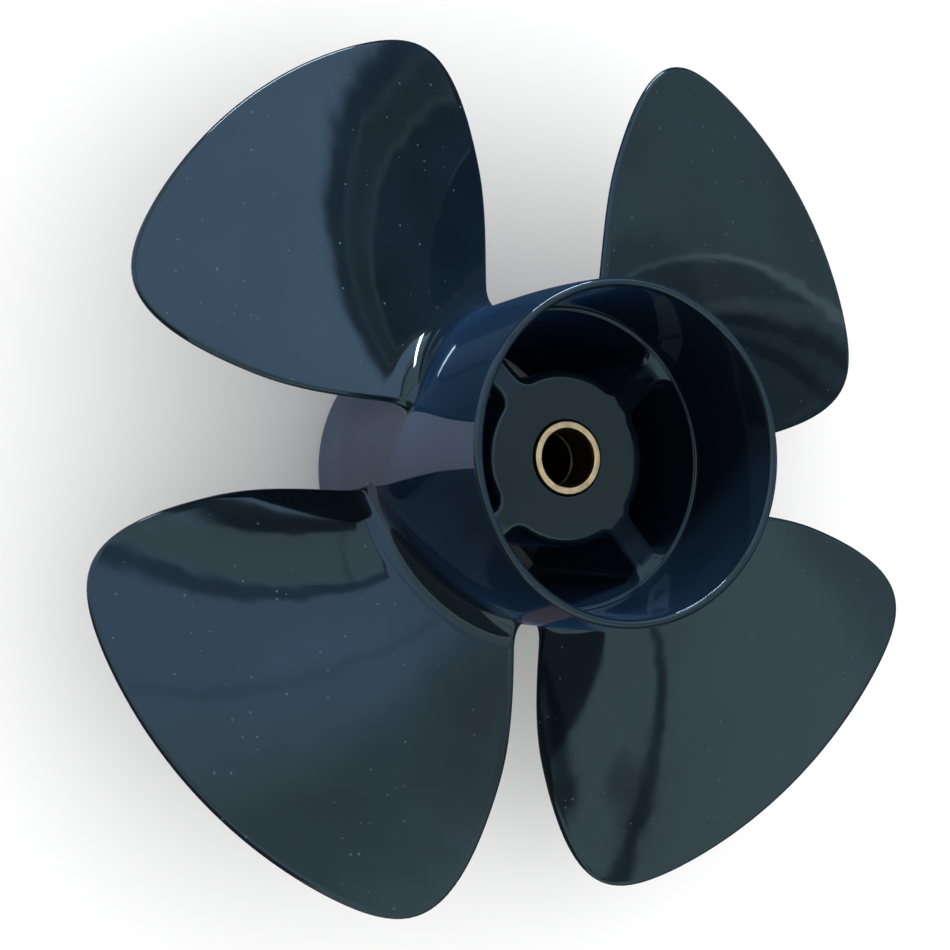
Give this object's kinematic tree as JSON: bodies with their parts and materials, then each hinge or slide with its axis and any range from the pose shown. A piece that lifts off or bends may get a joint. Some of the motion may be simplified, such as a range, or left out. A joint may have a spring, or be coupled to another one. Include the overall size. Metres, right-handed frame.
{
  "type": "boat propeller",
  "caption": "Right-hand boat propeller for a through-hub-exhaust outboard: broad blades on a black barrel, with a rubber-cushioned brass splined drive sleeve inside.",
  "frame": {"origin": "centre of the barrel's front (forward) face, on the shaft axis", "axes": "+Z along the shaft axis towards the open aft rim; +X and +Y lie midway between neighbouring blades; the blades point along the diagonals"},
  "size_m": [0.3256, 0.3256, 0.152],
  "materials": {
    "black_paint": "gloss",
    "brass": "machined, slightly tarnished",
    "rubber": "matte"
  },
  "bodies": {
    "propeller": {"barrel": "black_paint", "inner_hub": "black_paint", "rib_1": "black_paint", "rib_2": "black_paint", "rib_3": "black_paint", "rib_4": "black_paint", "blade_1": "black_paint", "blade_2": "black_paint", "blade_3": "black_paint", "blade_4": "black_paint", "rubber_cushion": "rubber"},
    "drive": {"drive_sleeve": "brass"}
  },
  "joints": [
    {"name": "cushion_twist", "type": "hinge", "parent": "propeller", "child": "drive", "pos_m": [0, 0, 0.06], "axis": [0, 0, 1], "range_deg": [-8, 8], "stiffness_Nm_per_rad": 1500}
  ]
}
